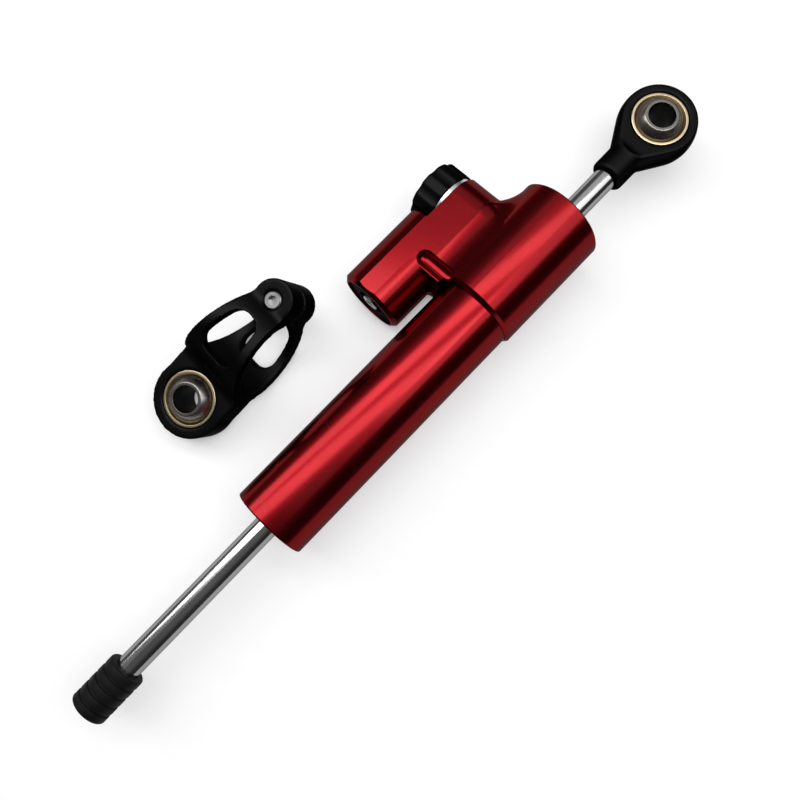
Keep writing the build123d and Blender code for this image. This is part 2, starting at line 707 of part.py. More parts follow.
with BuildPart() as knob_screw:
    with BuildSketch(knob_plane.offset(knob_top - knob_dish_depth - knob_screw_length + seat_gap)):
        Circle(knob_screw_radius - seat_gap)
    extrude(amount=knob_screw_length)
    with BuildSketch(knob_plane.offset(knob_top - knob_dish_depth + seat_gap)):
        RegularPolygon(hex_width / 2, 6, major_radius=False)
    extrude(amount=-knob_screw_length / 2, mode=Mode.SUBTRACT)
knob_screw.part.label = "knob_screw"

# Reservoir cap with its O-ring and the gas screw in the middle
cap_groove_low = cap_low_x + cap_recess_depth + oring_wire
with BuildPart() as reservoir_cap:
    spin(reservoir_plane, reservoir_axis,
         chamfered_ring(cap_low_x, cap_top_x - seat_gap, 0, cap_seat_radius - seat_gap, seat_gap * 5))
    spin(reservoir_plane, reservoir_axis,
         ring_outline(cap_low_x - overrun, cap_low_x + cap_recess_depth, 0, cap_recess_radius), Mode.SUBTRACT)
    spin(reservoir_plane, reservoir_axis,
         ring_outline(cap_low_x, cap_top_x + overrun, 0, gas_screw_shank + seat_gap), Mode.SUBTRACT)
    spin(reservoir_plane, reservoir_axis,
         ring_outline(cap_groove_low, cap_groove_low + oring_wire, cap_seat_radius - oring_wire, reservoir_radius),
         Mode.SUBTRACT)
reservoir_cap.part.label = "reservoir_cap"

with BuildPart() as cap_oring:
    spin(reservoir_plane, reservoir_axis,
         chamfered_ring(cap_groove_low + seat_gap, cap_groove_low + oring_wire - seat_gap,
                        cap_seat_radius - oring_wire + seat_gap, cap_seat_radius - seat_gap, oring_wire / 4))
cap_oring.part.label = "cap_oring"

screw_seat_x = cap_low_x + cap_recess_depth
screw_face = cross.offset(screw_seat_x - gas_screw_head)
with BuildPart() as gas_screw:
    spin(reservoir_plane, reservoir_axis,
         [(screw_seat_x - gas_screw_head, 0), (screw_seat_x - gas_screw_head, gas_screw_radius - seat_gap * 10),
          (screw_seat_x - gas_screw_head + seat_gap * 10, gas_screw_radius), (screw_seat_x, gas_screw_radius),
          (screw_seat_x, gas_screw_shank), (cap_top_x - seat_gap, gas_screw_shank), (cap_top_x - seat_gap, 0)])
    with BuildSketch(screw_face):
        with Locations((reservoir_offset, 0)):
            RegularPolygon(hex_width / 2, 6, major_radius=False)
    extrude(amount=gas_screw_head, mode=Mode.SUBTRACT)
gas_screw.part.label = "gas_screw"

# Floating piston between the oil and the gas, with its ring
float_high_x = float_low_x + floating_piston_length
float_radius = reservoir_bore - face_gap
float_groove_low = (float_low_x + float_high_x - floating_groove_width) / 2
float_groove_high = float_groove_low + floating_groove_width
with BuildPart() as floating_piston:
    spin(reservoir_plane, reservoir_axis, chamfered_ring(float_low_x, float_high_x, 0, float_radius, guide_land))
    spin(reservoir_plane, reservoir_axis,
         ring_outline(float_groove_low, float_groove_high, float_radius - floating_groove_depth, reservoir_radius),
         Mode.SUBTRACT)
    spin(reservoir_plane, reservoir_axis,
         ring_outline(float_low_x - overrun, float_low_x + floating_piston_length / 3, 0, cap_recess_radius),
         Mode.SUBTRACT)
floating_piston.part.label = "floating_piston"

with BuildPart() as floating_piston_ring:
    spin(reservoir_plane, reservoir_axis,
         chamfered_ring(float_groove_low + running_gap, float_groove_high - running_gap,
                        float_radius - floating_groove_depth + running_gap, reservoir_bore - running_gap,
                        oring_wire / 4))
floating_piston_ring.part.label = "floating_piston_ring"

# Clamp body: the side outline crossed with the plan outline, then bored and slotted
def tapered(low, high, width):
    """Outline across the ring, wider towards the eye."""
    low_half = width / 2 + low * clamp_taper_share
    high_half = width / 2 + high * clamp_taper_share
    return [(low, -low_half), (high, -high_half), (high, high_half), (low, low_half)]


with BuildPart() as clamp_body:
    with BuildSketch(clamp_section) as side_outline:
        Circle(clamp_outer)
        with Locations((clamp_eye_offset / 2 + clamp_eye_radius / 2, 0)):
            Rectangle(clamp_eye_offset + clamp_eye_radius, eye_width)
        with Locations((-(clamp_lug_offset + clamp_lug_radius) / 2, 0)):
            Rectangle(clamp_lug_offset + clamp_lug_radius, 2 * clamp_lug_half_height)
        inner = side_outline.vertices().filter_by_position(Axis.X, -clamp_outer, clamp_outer)
        fillet(inner, clamp_cove)
    extrude(amount=clamp_eye_radius, both=True)
    with BuildSketch(clamp_plan.offset(-clamp_outer - overrun)):
        with BuildLine():
            Polyline(*tapered(-clamp_lug_offset, clamp_outer, clamp_width),
                     (-clamp_lug_offset, 0), close=True)
        make_face()
        with Locations((clamp_eye_offset, 0)):
            Circle(clamp_eye_radius)
        with Locations(((clamp_outer + clamp_eye_offset) / 2, 0)):
            Rectangle(clamp_eye_offset - clamp_outer + seat_gap, 2 * clamp_eye_radius - eye_edge)
        with Locations((-clamp_lug_offset, 0)):
            Circle(clamp_lug_radius)
    extrude(amount=2 * clamp_outer + 2 * overrun, mode=Mode.INTERSECT)
    # Windows through both walls of the ring
    with BuildSketch(clamp_plan) as window:
        with BuildLine():
            Polyline(*tapered(-clamp_window_low, clamp_window_high, clamp_window_width), close=True)
        make_face()
        fillet(window.vertices(), clamp_window_corner)
    extrude(amount=clamp_outer + overrun, both=True, mode=Mode.SUBTRACT)
    # Bores for the damper's tube and for the bearing
    with BuildSketch(clamp_section):
        Circle(clamp_bore)
    extrude(amount=clamp_width, both=True, mode=Mode.SUBTRACT)
    bearing_seat(clamp_eye_plane)
    # Slot between the lugs, bolt hole and the recess for the bolt's head
    with BuildSketch(clamp_section):
        with Locations((-clamp_lug_offset, 0)):
            Rectangle(2 * clamp_lug_radius + 2 * overrun, clamp_slot)
    extrude(amount=clamp_width, both=True, mode=Mode.SUBTRACT)
    with BuildSketch(clamp_lug_plane):
        Circle(clamp_bolt_radius + running_gap)
    extrude(amount=clamp_outer, both=True, mode=Mode.SUBTRACT)
    with BuildSketch(clamp_lug_plane.offset(clamp_lug_half_height - clamp_bolt_head_height)):
        Circle(clamp_bolt_head_radius + running_gap)
    extrude(amount=clamp_bolt_head_height + overrun, mode=Mode.SUBTRACT)
clamp_body.part.label = "clamp_body"

bolt_head_low = clamp_lug_half_height - clamp_bolt_head_height
bolt_tip = -clamp_lug_half_height + overrun
with BuildPart() as clamp_bolt:
    with BuildSketch(clamp_lug_plane.offset(bolt_tip)):
        Circle(clamp_bolt_radius)
    extrude(amount=bolt_head_low + clamp_bolt_head_height / 2 - bolt_tip)
    with BuildSketch(clamp_lug_plane.offset(bolt_head_low + seat_gap)):
        Circle(clamp_bolt_head_radius)
    extrude(amount=clamp_bolt_head_height)
    head_face = clamp_bolt.faces().sort_by(Axis(clamp_origin, clamp_up))[-1]
    chamfer(head_face.outer_wire().edges(), clamp_bolt_head_height / 8)
    with BuildSketch(clamp_lug_plane.offset(clamp_lug_half_height + seat_gap)):
        RegularPolygon(hex_width / 2, 6, major_radius=False)
    extrude(amount=-clamp_bolt_head_height / 2, mode=Mode.SUBTRACT)
clamp_bolt.part.label = "clamp_bolt"

with BuildPart() as clamp_race:
    bearing_race(clamp_eye_plane)
clamp_race.part.label = "clamp_race"

with BuildPart() as clamp_ball:
    bearing_ball(clamp_eye_plane)
clamp_ball.part.label = "clamp_ball"

pieces = [
    main_tube, lower_guide, lower_guide_oring, lower_wiper, lower_seal, lower_circlip, piston_rod, piston_clips,
    piston, piston_ring, bump_stop, rod_end_housing, rod_end_race, rod_end_ball, head_block, head_bush,
    head_seal, head_wiper, indicator_ring, valve_gland, needle_valve, needle_oring, detent_ball,
    detent_spring, adjuster_knob, knob_screw, reservoir_cap, cap_oring, gas_screw, floating_piston,
    floating_piston_ring, clamp_body, clamp_bolt, clamp_race, clamp_ball,
]
os.makedirs("parts", exist_ok=True)
for piece in pieces:
    export_step(piece.part, f"parts/{piece.part.label}.step")
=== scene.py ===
import math

import bmesh
import bpy
from mathutils import Matrix, Vector


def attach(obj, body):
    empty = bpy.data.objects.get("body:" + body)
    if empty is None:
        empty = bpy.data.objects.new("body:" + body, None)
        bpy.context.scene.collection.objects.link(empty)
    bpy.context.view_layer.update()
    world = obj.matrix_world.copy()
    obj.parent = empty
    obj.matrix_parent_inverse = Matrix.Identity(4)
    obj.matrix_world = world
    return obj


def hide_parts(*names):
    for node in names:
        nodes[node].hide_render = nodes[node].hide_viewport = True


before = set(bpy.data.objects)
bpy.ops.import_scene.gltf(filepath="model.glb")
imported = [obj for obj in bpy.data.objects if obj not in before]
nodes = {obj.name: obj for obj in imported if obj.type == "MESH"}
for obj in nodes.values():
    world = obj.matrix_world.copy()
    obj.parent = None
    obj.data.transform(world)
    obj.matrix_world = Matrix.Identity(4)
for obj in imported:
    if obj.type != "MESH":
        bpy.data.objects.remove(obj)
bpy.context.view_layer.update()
scene = bpy.context.scene

# ---------------------------------------------------------------------------------------------
# The place: a white table seen from above, with soft boxes hung over the damper's length.
# The frame has the rod-end ball's centre as its origin, the rod along X and Z up. The damper lies rolled about
# the rod by the lean, as in the solids: side points out to the knob, and front up off the arm's flat.
mm = 0.001
table_height = -13.924 * mm
table_size = 6.0
lean = math.radians(6.49834)
along = Vector((1, 0, 0))
side = Vector((0, math.cos(lean), -math.sin(lean)))
front = Vector((0, math.sin(lean), math.cos(lean)))


class Value:
    """One output of a shader node. Sums and products of values add Math nodes."""

    def __init__(self, finish, socket):
        self.finish, self.socket = finish, socket

    def maths(self, operation, first, second):
        return self.finish.node("ShaderNodeMath", {"operation": operation}, {0: first, 1: second})["Value"]

    def __add__(self, other):
        return self.maths("ADD", self, other)

    def __mul__(self, other):
        return self.maths("MULTIPLY", self, other)

    def highest(self, *others):
        found = self
        for other in others:
            found = self.maths("MAXIMUM", found, other)
        return found

    __radd__, __rmul__ = __add__, __mul__


class Node:
    """A shader node, whose outputs are read by name."""

    def __init__(self, finish, node):
        self.finish, self.node = finish, node

    def __getitem__(self, output):
        return Value(self.finish, self.node.outputs[output])


class Finish:
    """A material or the world, built from nodes."""

    def __init__(self, owner):
        owner.use_nodes = True
        self.owner, self.tree = owner, owner.node_tree
        self.tree.nodes.clear()

    def node(self, kind, settings=None, sockets=None):
        made = self.tree.nodes.new(kind)
        for name, value in (settings or {}).items():
            if name == "stops":
                ramp = made.color_ramp
                while len(ramp.elements) < len(value):
                    ramp.elements.new(1)
                for element, (place, tint) in zip(ramp.elements, value):
                    element.position, element.color = place, tint
            else:
                setattr(made, name, value)
        for name, value in (sockets or {}).items():
            if isinstance(value, Value):
                self.tree.links.new(value.socket, made.inputs[name])
            else:
                made.inputs[name].default_value = value
        return Node(self, made)

    def speckle(self, size, detail=2.0, stretch=(1, 1, 1)):
        """Noise from 0 to 1 whose lumps are about one size across, in metres, and longer where stretch is low."""
        point = self.node("ShaderNodeTexCoord")["Object"]
        scale = tuple(share / size for share in stretch)
        scaled = self.node("ShaderNodeMapping", None, {"Vector": point, "Scale": scale})["Vector"]
        sockets = {"Vector": scaled, "Scale": 1.0, "Detail": detail, "Roughness": 0.5}
        return self.node("ShaderNodeTexNoise", None, sockets)["Fac"]

    def mix(self, amount, first, second):
        """A colour between two. The Mix node's colour sockets share their names, so they go by number."""
        made = self.node("ShaderNodeMix", {"data_type": "RGBA"})
        for index, value in ((0, amount), (6, first), (7, second)):
            if isinstance(value, Value):
                self.tree.links.new(value.socket, made.node.inputs[index])
            else:
                made.node.inputs[index].default_value = value
        return Value(self, made.node.outputs[2])

    def range(self, value, low, high, from_low=0.0, from_high=1.0):
        """The value's share of the way between two levels, as a number from low to high."""
        sockets = {"Value": value, 1: from_low, 2: from_high, 3: low, 4: high}
        return self.node("ShaderNodeMapRange", {"clamp": True}, sockets)["Result"]

    def bump(self, height, depth):
        """A normal for a surface that rises by depth, in metres, where height is 1."""
        return self.node("ShaderNodeBump", None, {"Height": height, "Distance": depth, "Strength": 1.0})["Normal"]

    def surface(self, **sockets):
        """Ends the material in one Principled shader, whose sockets are named with _ for a space."""
        plain = {name.replace("_", " "): value for name, value in sockets.items()}
        shader = self.node("ShaderNodeBsdfPrincipled", None, plain)["BSDF"]
        self.node("ShaderNodeOutputMaterial", None, {"Surface": shader})
        return self.owner


def finish(name):
    return Finish(bpy.data.materials.new(name))


def wear(piece, material):
    """The piece takes one material all over."""
    piece.data.materials.clear()
    piece.data.materials.append(material)


def colour(red, green, blue):
    return (red, green, blue, 1.0)


def grey(level):
    return colour(level, level, level)


def white_table():
    """White to the eye and dimmer in mirrors, with part of its light from the lamps, so that shadows stay. Its
    glow is painted darker where parts close by cover it, as painted contact shade.
    """
    made = finish("white_table")
    seen = made.node("ShaderNodeLightPath")
    tone = made.mix(made.speckle(0.004), grey(0.5), grey(0.53))
    lit = made.node("ShaderNodeBsdfDiffuse", None, {"Color": tone})
    mirror_share, sky_low, sky_high, glow_low, glow_high = 0.4, 0.05, 0.5, 0.15, 0.7
    mask = seen["Is Camera Ray"].highest(seen["Is Glossy Ray"] * mirror_share, seen["Is Transmission Ray"])
    # Painted contact shade: the glow fades where parts within a few millimetres cover the table
    open_sky = made.node("ShaderNodeAmbientOcclusion", {"samples": 6}, {"Distance": 6 * mm})["AO"]
    glow = made.range(open_sky, sky_low, sky_high, glow_low, glow_high)
    own = made.node("ShaderNodeEmission", None, {"Color": colour(1, 1, 1), "Strength": mask * glow})
    both = made.node("ShaderNodeAddShader", None, {0: lit["BSDF"], 1: own["Emission"]})
    made.node("ShaderNodeOutputMaterial", None, {"Surface": both["Shader"]})
    return made.owner


bpy.ops.mesh.primitive_grid_add(
    x_subdivisions=8, y_subdivisions=8, size=table_size, location=(0, 0, table_height))
table = bpy.context.object
table.name = "table"
wear(table, white_table())

# The room is dim, a little lighter above and on the far side
room = Finish(bpy.data.worlds.new("room"))
scene.world = room.owner
direction = room.node("ShaderNodeSeparateXYZ", None, {0: room.node("ShaderNodeTexCoord")["Generated"]})
room_stops = [(0.0, grey(0.05)), (0.45, grey(0.035)), (0.85, grey(0.14))]
shade = room.node("ShaderNodeValToRGB", {"stops": room_stops}, {"Fac": direction["Z"]})["Color"]
far_gain = 2.2
strength = 1 + far_gain * direction["Y"].highest(0.0)
around = room.node("ShaderNodeBackground", None, {"Color": shade, "Strength": strength})["Background"]
room.node("ShaderNodeOutputWorld", None, {"Surface": around})

lamp_x = -120 * mm


def soft_box(name, turn, tilt, run, distance, width, length, radiance):
    """A soft box over the damper. From straight above it is turned about the rod's line towards +Y and tilted
    towards +X, in degrees, and run is the level direction of its long side."""
    lamp = bpy.data.lights.new(name, "AREA")
    lamp.shape, lamp.size, lamp.size_y = "RECTANGLE", length, width
    lamp.energy = radiance * math.pi * length * width
    back = Vector((math.tan(math.radians(tilt)), math.tan(math.radians(turn)), 1)).normalized()
    long_side = (run - back * run.dot(back)).normalized()
    short_side = back.cross(long_side)
    held = bpy.data.objects.new(name, lamp)
    held.matrix_world = Matrix((
        (long_side.x, short_side.x, back.x, lamp_x + back.x * distance),
        (long_side.y, short_side.y, back.y, back.y * distance),
        (long_side.z, short_side.z, back.z, back.z * distance),
        (0, 0, 0, 1)))
    scene.collection.objects.link(held)


slanted, level = Vector((-1, 2.2, 0)), Vector((1, 0, 0))
for box in (
        # name, turn, tilt, run, distance, width, length, radiance
        ("box_upper", 24.5, 11.5, slanted, 0.80, 0.17, 1.6, 4.2),
        ("box_lower", 14, -4.5, slanted, 0.80, 0.17, 1.7, 4.2),
        ("box_wide", -4, 27, level, 1.1, 1.9, 1.5, 0.45),
        ("box_end", -32, 24, level, 1.0, 0.45, 0.6, 1.5)):
    soft_box(*box)

# The camera, fitted to the photograph
focal_px, photo_px = 748, 800
lens = bpy.data.cameras.new("camera")
lens.sensor_width = 36
lens.lens = focal_px * lens.sensor_width / photo_px
lens.clip_start, lens.clip_end = 0.01, 20
ahead = Vector((0.1032, 0.1386, -0.985)).normalized()
above = Vector((0.7134, 0.6798, 0.1704))
above = (above - ahead * above.dot(ahead)).normalized()
right = ahead.cross(above)
camera = bpy.data.objects.new("camera", lens)
eye = Vector((-136.62, -32.05, 211.68)) * mm
camera.matrix_world = Matrix((
    (right.x, above.x, -ahead.x, eye.x),
    (right.y, above.y, -ahead.y, eye.y),
    (right.z, above.z, -ahead.z, eye.z),
    (0, 0, 0, 1)))
scene.collection.objects.link(camera)
scene.camera = camera
scene.view_settings.view_transform = "Standard"

# ---------------------------------------------------------------------------------------------
# Main tube and head: turned and milled from aluminium bar, polished and dyed red in the anodising
# bath. The dye layer gives the metal its colour, and a thin clear skin over it gives a white glint.


def red_anodised():
    made = finish("red_anodised")
    smudge = made.speckle(0.018, 3.0)
    fine = made.speckle(0.0011, 2.0, (1.0, 0.12, 0.12))
    tone = made.mix(made.speckle(0.03, 2.0), colour(0.19, 0.0032, 0.0058), colour(0.22, 0.0042, 0.0075))
    lathe = made.bump(fine, 0.0000025)
    return made.surface(
        Base_Color=tone, Metallic=1.0, Specular_Tint=colour(0.28, 0.06, 0.07),
        Roughness=made.range(smudge, 0.2, 0.25, 0.3, 0.7), Normal=lathe,
        Coat_Weight=0.18, Coat_Roughness=0.12, Coat_IOR=1.5)


def rounded(outline):
    """The corners (radius, height, round) of a closed outline as points. Each round corner becomes an arc, and
    long runs get a point near each end, which keeps their faces true."""
    steps, hold = 5, 0.14
    points = []
    for number, (radius, height, curve) in enumerate(outline):
        corner = Vector((radius, height))
        before = Vector(outline[number - 1][:2]) - corner
        after = Vector(outline[(number + 1) % len(outline)][:2]) - corner
        if not curve:
            points.append(corner)
            continue
        half = before.angle(after) / 2
        middle = corner + (before.normalized() + after.normalized()).normalized() * curve / math.sin(half)
        start = corner + before.normalized() * curve / math.tan(half) - middle
        end = corner + after.normalized() * curve / math.tan(half) - middle
        sweep = start.angle_signed(end)
        for step in range(steps + 1):
            arm = start.copy()
            arm.rotate(Matrix.Rotation(-sweep * step / steps, 2))
            points.append(middle + arm)
    held = []
    for number, point in enumerate(points):
        held.append(point)
        run = points[(number + 1) % len(points)] - point
        if run.length > 4 * hold:
            held.append(point + run.normalized() * hold)
            held.append(point + run - run.normalized() * hold)
    return held


def turned(name, outline, centre, axis, sides=128, shape=None):
    """A piece turned about an axis through centre, from an outline in millimetres. shape(angle, radius, height)
    may change the radius. Angle 0 is at the rod's direction, or across it for a piece on the rod's line."""
    start = front if abs(axis.dot(along)) > 0.9 else (along - axis * along.dot(axis)).normalized()
    other = axis.cross(start)
    merge, least = 0.002 * mm, 0.0005 * mm
    mesh = bmesh.new()
    rings = []
    for step in range(sides):
        angle = 2 * math.pi * step / sides
        arm = start * math.cos(angle) + other * math.sin(angle)
        ring = []
        for radius, height in outline:
            reach = shape(angle, radius, height) if shape else radius
            ring.append(mesh.verts.new((centre + arm * reach + axis * height) * mm))
        rings.append(ring)
    for ring, following in zip(rings, rings[1:] + rings[:1]):
        for number in range(len(outline)):
            after = (number + 1) % len(outline)
            mesh.faces.new((ring[number], following[number], following[after], ring[after]))
    bmesh.ops.remove_doubles(mesh, verts=mesh.verts, dist=merge)
    bmesh.ops.dissolve_degenerate(mesh, edges=mesh.edges, dist=least)
    bmesh.ops.recalc_face_normals(mesh, faces=mesh.faces)
    data = bpy.data.meshes.new(name)
    mesh.to_mesh(data)
    mesh.free()
    for face in data.polygons:
        face.use_smooth = True
    piece = bpy.data.objects.new(name, data)
    scene.collection.objects.link(piece)
    return piece


def fit(piece, body, material, slot, *replaced):
    """The piece gets its material, rides on its body and stands for the CAD nodes named."""
    wear(piece, material)
    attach(piece, body)
    if replaced:
        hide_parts(*replaced)


red = red_anodised()
wear(nodes["head_block"], red)
origin = Vector((0, 0, 0))
tube_low, head_low, tube_top = -165.0, -80.6, -71.6
tube_radius, tube_bore, tube_neck, guide_seat, guide_depth = 11.7, 9.9, 10.9, 10.4, 15.0
tube = turned("tube_shell", rounded([
    (guide_seat, tube_low, 0.35), (tube_radius, tube_low, 0.45), (tube_radius, head_low, 0.2),
    (tube_neck, head_low, 0.1), (tube_neck, tube_top, 0.3), (tube_bore, tube_top, 0.2),
    (tube_bore, tube_low + guide_depth, 0), (guide_seat, tube_low + guide_depth, 0)]), origin, along, 256)
fit(tube, "barrel", red, "red_anodised", "main_tube")

# ---------------------------------------------------------------------------------------------
# Rod: hard-chromed steel, ground and polished round its length, so its finest lines run round it.


def polished_rod():
    made = finish("polished_rod")
    lines = made.speckle(0.0004, 2.0, (1.0, 0.05, 0.05))
    film = made.speckle(0.02, 3.0)
    tone = made.mix(film, colour(0.40, 0.40, 0.405), colour(0.47, 0.47, 0.475))
    return made.surface(Base_Color=tone, Metallic=1.0, Specular_Tint=grey(0.5),
                        Roughness=made.range(film, 0.12, 0.18, 0.3, 0.7),
                        Normal=made.bump(lines, 0.000001))


wear(nodes["piston_rod"], polished_rod())

# ---------------------------------------------------------------------------------------------
# Black parts: bead-blasted, then anodised or blackened, with a fine satin grain.


def satin_black(name, grain, tone_low, tone_high, rough_low, rough_high):
    made = finish(name)
    blast = made.speckle(grain, 3.0)
    cloud = made.speckle(0.012)
    tone = made.mix(cloud, grey(tone_low), grey(tone_high))
    return made.surface(Base_Color=tone, Metallic=1.0, Specular_Tint=colour(0.35, 0.35, 0.36),
                        Roughness=made.range(cloud, rough_low, rough_high, 0.3, 0.7),
                        Normal=made.bump(blast, 0.000006))


black_anodised = satin_black("black_anodised", 0.00035, 0.008, 0.013, 0.4, 0.5)
black_steel = satin_black("black_steel", 0.0005, 0.007, 0.012, 0.38, 0.48)
wear(nodes["reservoir_cap"], black_anodised)


def softened(name, node, voxel, passes):
    """A copy of a CAD node with its edges rounded over, as tumbling and blasting leave them."""
    data = nodes[node].data.copy()
    mesh = bmesh.new()
    mesh.from_mesh(data)
    bmesh.ops.remove_doubles(mesh, verts=mesh.verts, dist=0.001 * mm)
    mesh.to_mesh(data)
    mesh.free()
    rough = bpy.data.objects.new(name + "_rough", data)
    scene.collection.objects.link(rough)
    remesh = rough.modifiers.new("skin", "REMESH")
    remesh.mode, remesh.voxel_size, remesh.use_smooth_shade = "VOXEL", voxel * mm, True
    smooth = rough.modifiers.new("tumbled", "SMOOTH")
    smooth.factor, smooth.iterations = 0.5, passes
    evaluated = rough.evaluated_get(bpy.context.evaluated_depsgraph_get())
    made = bpy.data.meshes.new_from_object(evaluated)
    made.name = name
    bpy.data.objects.remove(rough)
    for face in made.polygons:
        face.use_smooth = True
    piece = bpy.data.objects.new(name, made)
    scene.collection.objects.link(piece)
    return piece


casting = softened("clamp_casting", "clamp_body", 0.34, 12)
fit(casting, "clamp", black_anodised, "black_anodised", "clamp_body")
forging = softened("rod_end_forging", "rod_end_housing", 0.26, 22)
fit(forging, "rod", black_steel, "black_steel", "rod_end_housing")

# The knob, with nine shallow scallops for the fingers and a dished top
knob_x, knob_low, knob_high, knob_radius = -60.1, 29.2, 37.0, 9.8
knob_bore, dish_radius, dish_floor, socket_radius, socket_floor = 2.1, 4.2, knob_high - 0.8, 2.6, knob_high - 2.4
scallops, scallop_radius, scallop_depth, scallop_blend, scallop_root = 9, 4.5, 0.5, 9.0, 6.0


def scalloped(angle, radius, height):
    """The radius less the scallop at this angle. The cut meets the knob's round in a soft edge, and fades out
    towards the middle of the end faces."""
    pitch = 2 * math.pi / scallops
    circle = knob_radius + scallop_radius - scallop_depth
    off = ((angle / pitch + 0.5) % 1 - 0.5) * pitch
    inside = scallop_radius ** 2 - (circle * math.sin(off)) ** 2
    cut = circle * math.cos(off) - math.sqrt(inside) if inside > 0 else knob_radius + 1
    edge = knob_radius - math.log(1 + math.exp(scallop_blend * (knob_radius - cut))) / scallop_blend
    share = min(1.0, max(0.0, (radius - scallop_root) / (knob_radius - scallop_root)))
    return radius - (knob_radius - edge) * share * share * (3 - 2 * share)


knob_foot = along * knob_x
knob = turned("knob_shell", rounded([
    (knob_bore, knob_low, 0), (knob_radius, knob_low, 0.4), (knob_radius, knob_high, 1.0),
    (dish_radius, knob_high, 0.3), (dish_radius, dish_floor, 0.15), (socket_radius, dish_floor, 0.1),
    (socket_radius, socket_floor, 0), (knob_bore, socket_floor, 0)]), knob_foot, side, 360, scalloped)
fit(knob, "adjuster", black_anodised, "black_anodised", "adjuster_knob")

# ---------------------------------------------------------------------------------------------
# Bearings and bright parts: brass liners, ground steel balls, plain silver aluminium and steel screws.


def bright_metal(name, low, high, rough_low, rough_high, grain, depth):
    made = finish(name)
    cloud = made.speckle(0.004, 3.0)
    return made.surface(Base_Color=made.mix(cloud, colour(*low), colour(*high)), Metallic=1.0,
                        Roughness=made.range(cloud, rough_low, rough_high, 0.3, 0.7),
                        Normal=made.bump(made.speckle(grain), depth))


bearing_brass = bright_metal(
    "bearing_brass", (0.70, 0.57, 0.37), (0.80, 0.66, 0.44), 0.28, 0.34, 0.0006, 0.000001)
# Darker bronze for the liner's inside faces round the ball: painted shade in the seat
liner_painted_shade = bright_metal(
    "liner_painted_shade", (0.30, 0.22, 0.11), (0.40, 0.30, 0.16), 0.3, 0.4, 0.0006, 0.000001)
bearing_steel = bright_metal(
    "bearing_steel", (0.21, 0.19, 0.175), (0.30, 0.275, 0.26), 0.24, 0.32, 0.0005, 0.000001)
silver_aluminium = bright_metal(
    "silver_aluminium", (0.74, 0.74, 0.75), (0.86, 0.86, 0.87), 0.24, 0.34, 0.0003, 0.000003)
screw_steel = bright_metal(
    "screw_steel", (0.34, 0.34, 0.33), (0.52, 0.52, 0.51), 0.26, 0.36, 0.0004, 0.000003)
# Near-black for the steel ball's bore: painted shade inside the bore
bore_painted_shade = bright_metal(
    "bore_painted_shade", (0.006, 0.006, 0.006), (0.012, 0.011, 0.010), 0.45, 0.6, 0.0005, 0.000003)
wear(nodes["head_bush"], bearing_brass)
wear(nodes["detent_ball"], bearing_steel)

ball_radius, ball_half, bore_radius, race_radius, race_half = 7.95, 6.2, 3.95, 8.5, 4.1
ball_gap, mouth, mouth_round, bore_skin, face_step = 0.06, 0.2, 0.08, 0.12, 0.05
lip_inner, lip_outer, lip_height, lip_seat, lip_reach, lip_band = 7.24, 7.72, 3.45, 0.3, 7.7, 0.02


def sphere_arc(radius, low, high, steps):
    """Points of a sphere's side between two heights, as (radius, height, 0)."""
    first, last = math.asin(low / radius), math.asin(high / radius)
    angles = [first + (last - first) * step / steps for step in range(steps + 1)]
    return [(radius * math.cos(angle), radius * math.sin(angle), 0) for angle in angles]


def bearing(prefix, centre, axis, race_body, ball_body, race_node, ball_node):
    """A brass liner with a raised bright lip, whose inside faces are painted darker bronze as shade, and the
    steel ball that swivels in it, whose bore is painted near-black as shade.
    """
    lip = [(lip_inner, lip_height, 0.05), (lip_outer, race_half, 0.1), (race_radius, race_half, 0.22)]
    wall = [(race_radius, -race_half, 0.2)] + [(r, -h, e) for r, h, e in reversed(lip[:2])]
    inner = sphere_arc(ball_radius + ball_gap, lip_seat - lip_height, lip_height - lip_seat, 20)
    race = turned(prefix + "_liner", rounded(inner + lip + wall), centre, axis, 160)
    fit(race, race_body, bearing_brass, "bearing_brass", race_node)
    race.data.materials.append(liner_painted_shade)
    # Faces inside the lip, away from the end faces, take the darker bronze: painted shade on the seat
    for face in race.data.polygons:
        out = face.center / mm - centre
        if abs(out.dot(axis)) < race_half - lip_band and (out - axis * out.dot(axis)).length < lip_reach:
            face.material_index = 1
    rim, rise = math.sqrt(ball_radius ** 2 - ball_half ** 2) - face_step, ball_half - 2 * face_step
    foot = [(bore_radius, ball_half - mouth, mouth_round), (bore_radius, mouth - ball_half, mouth_round),
            (bore_radius + mouth, -ball_half, mouth_round), (rim, -ball_half, 0)]
    head = [(rim, ball_half, 0), (bore_radius + mouth, ball_half, mouth_round)]
    arc = sphere_arc(ball_radius, -rise, rise, 44)
    ball = turned(prefix + "_swivel", rounded(foot + arc + head), centre, axis, 160)
    fit(ball, ball_body, bearing_steel, "bearing_steel", ball_node)
    ball.data.materials.append(bore_painted_shade)
    # Faces of the bore take the near-black: painted shade
    for face in ball.data.polygons:
        out = face.center / mm - centre
        if (out - axis * out.dot(axis)).length < bore_radius + bore_skin:
            face.material_index = 1


bearing("rod_end", origin, Vector((0, 0, 1)), "rod", "rod_ball", "rod_end_race", "rod_end_ball")
clamp_eye, clamp_up = Vector((-155.427, 42.8865, -6.1132)), Vector((-0.297345, 0.018707, 0.954587)).normalized()
bearing("clamp", clamp_eye, clamp_up, "clamp", "clamp_swivel", "clamp_race", "clamp_ball")
for name in ("indicator_ring", "lower_guide", "piston", "floating_piston", "valve_gland"):
    wear(nodes[name], silver_aluminium)
for name in ("knob_screw", "gas_screw", "clamp_bolt", "lower_circlip", "piston_clips", "needle_valve",
             "detent_spring"):
    wear(nodes[name], screw_steel)

# ---------------------------------------------------------------------------------------------
# Rubber: the ribbed stop, moulded and matt, and the hidden seals.


